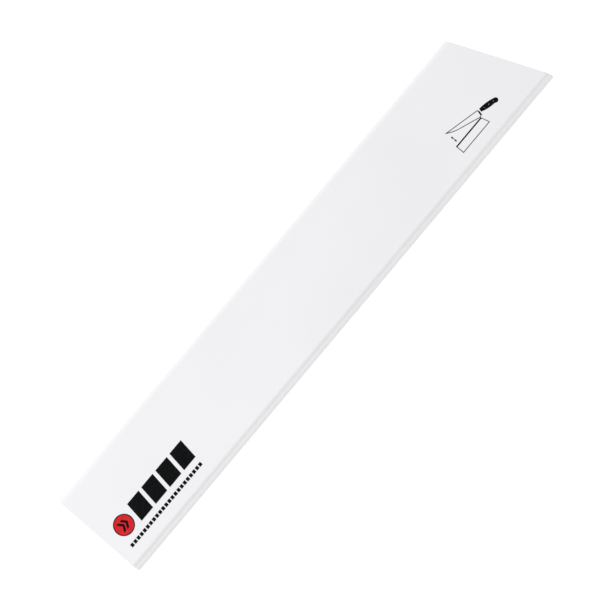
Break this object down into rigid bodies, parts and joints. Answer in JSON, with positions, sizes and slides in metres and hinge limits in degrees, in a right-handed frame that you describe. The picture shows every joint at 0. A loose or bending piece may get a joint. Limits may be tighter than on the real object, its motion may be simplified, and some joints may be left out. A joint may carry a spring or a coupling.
{
  "type": "knife blade guard",
  "caption": "Long flat folded plastic sheath for a knife blade, open along one edge and at both ends, one end slanted, with magnetic strips inside.",
  "frame": {"origin": "middle of the underside, at the centre of the bounding box's base", "axes": "+X along the length towards the slanted end, +Y from the fold to the open mouth, +Z out of the printed panel"},
  "size_m": [0.27, 0.0454, 0.0073],
  "materials": {
    "sheath_plastic": "satin, white polypropylene sheet with a fine moulded grain",
    "magnet_rubber": "matt dark brown-grey ferrite-filled flexible strip",
    "bonding_film": "clear double-sided bonding film",
    "red_ink": "semi-gloss screen-printed ink",
    "black_ink": "semi-gloss screen-printed ink"
  },
  "bodies": {
    "back": {"back_panel": "sheath_plastic", "fold_lower": "sheath_plastic", "back_strip_adhesive": "bonding_film", "back_magnet_strip": "magnet_rubber"},
    "front": {"fold_upper": "sheath_plastic", "front_panel": "sheath_plastic", "front_strip_adhesive": "bonding_film", "front_magnet_strip": "magnet_rubber", "print_emblem_disc": "red_ink", "print_emblem_ring": "black_ink", "print_emblem_chevrons": "black_ink", "print_blocks": "black_ink", "print_dashes": "black_ink", "print_symbol_guard": "black_ink", "print_symbol_blade": "black_ink", "print_symbol_handle": "black_ink", "print_symbol_arrow": "black_ink"}
  },
  "joints": [
    {"name": "front_panel_flex", "type": "hinge", "parent": "back", "child": "front", "pos_m": [0, -0.0191, 0.0036], "axis": [1, 0, 0], "range_deg": [0, 25], "stiffness_Nm_per_rad": 1.5, "deforming": ["fold_lower", "fold_upper"]}
  ]
}
